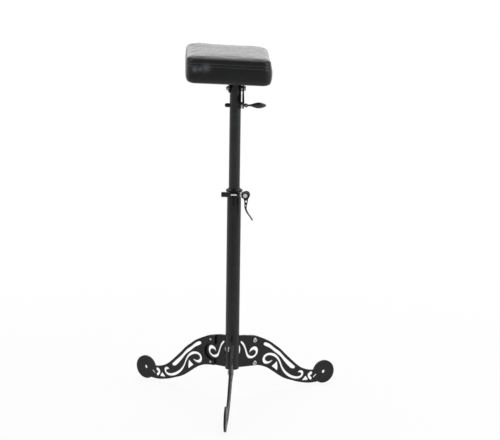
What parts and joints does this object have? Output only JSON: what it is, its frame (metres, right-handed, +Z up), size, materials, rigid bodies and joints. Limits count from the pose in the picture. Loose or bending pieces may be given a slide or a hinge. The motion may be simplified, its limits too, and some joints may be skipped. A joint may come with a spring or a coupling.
{
  "type": "tattoo arm rest stand",
  "caption": "Tripod arm rest stand: scroll-cut flat legs, a telescoping column with a quick-release height clamp, and a square cushion on a tilting lever-clamped head.",
  "frame": {"origin": "on the floor under the column's axis", "axes": "+Z up along the column; -Y towards the front leg, the side that the picture shows; +X to the right, where both clamp levers are"},
  "size_m": [0.5038, 0.4406, 0.8582],
  "materials": {
    "tube_black": "satin powder coat",
    "leg_black": "flat powder coat",
    "zinc": "bright zinc plate",
    "steel_bright": "polished steel",
    "steel_dark": "black oxide",
    "clamp_black": "satin anodised black",
    "nylon_black": "matte moulded",
    "nylon_grey": "matte moulded",
    "grip_dark": "glossy",
    "cover_black": "satin upholstery vinyl",
    "foam": "open-cell foam",
    "plywood": "bare plywood"
  },
  "bodies": {
    "base": {"lower_tube": "tube_black", "lower_end_plug": "nylon_black", "front_ear": "leg_black", "right_ear": "leg_black", "left_ear": "leg_black", "front_leg": "leg_black", "right_leg": "leg_black", "left_leg": "leg_black", "front_leg_screws": "zinc", "right_leg_screws": "zinc", "left_leg_screws": "zinc", "guide_bush": "nylon_black", "clamp_band": "clamp_black", "skewer_rod": "steel_bright", "cam_washer": "zinc", "pivot_barrel": "zinc"},
    "adjuster": {"adjusting_nut": "clamp_black"},
    "height_lever": {"clamp_lever": "clamp_black"},
    "slider": {"glide_ring": "nylon_grey"},
    "mast": {"upper_tube": "tube_black", "upper_end_plug": "nylon_black", "upper_top_plug": "nylon_black", "friction_plate": "steel_dark", "clamp_bolt": "steel_dark", "inner_washer": "zinc", "outer_washer": "zinc", "eye_pin": "zinc"},
    "cap": {"cap_nut": "clamp_black"},
    "tilt_handle": {"tilt_lever": "steel_dark", "spindle_grip": "grip_dark"},
    "head": {"mounting_plate": "steel_dark", "left_cheek": "steel_dark", "sector_plate": "steel_dark", "hinge_bolt": "zinc", "hinge_nut": "zinc", "hinge_spacer": "zinc", "board_screws": "zinc", "pad_board": "plywood", "pad_foam": "foam", "pad_cover": "cover_black"}
  },
  "joints": [
    {"name": "height_slide", "type": "slide", "parent": "base", "child": "slider", "axis": [0, 0, 1], "range_m": [-0.18, 0.18]},
    {"name": "column_swivel", "type": "hinge", "parent": "slider", "child": "mast", "pos_m": [0, 0, 0.3], "axis": [0, 0, 1], "continuous": true},
    {"name": "pad_tilt", "type": "hinge", "parent": "mast", "child": "head", "pos_m": [0, 0, 0.762], "axis": [0.9945, 0.1045, 0], "range_deg": [-49, 41]},
    {"name": "tilt_lever_cam", "type": "hinge", "parent": "mast", "child": "tilt_handle", "pos_m": [0.02506, 0.00263, 0.722], "axis": [-0.1045, 0.9945, 0], "range_deg": [0, 90]},
    {"name": "cap_nut_turn", "type": "hinge", "parent": "mast", "child": "cap", "pos_m": [-0.0179, -0.00188, 0.722], "axis": [0.9945, 0.1045, 0], "continuous": true},
    {"name": "height_lever_cam", "type": "hinge", "parent": "base", "child": "height_lever", "pos_m": [0.0286, -0.0225, 0.51], "axis": [0, -1, 0], "range_deg": [0, 165]},
    {"name": "adjusting_nut_turn", "type": "hinge", "parent": "base", "child": "adjuster", "pos_m": [-0.0226, -0.0225, 0.51], "axis": [1, 0, 0], "continuous": true}
  ]
}
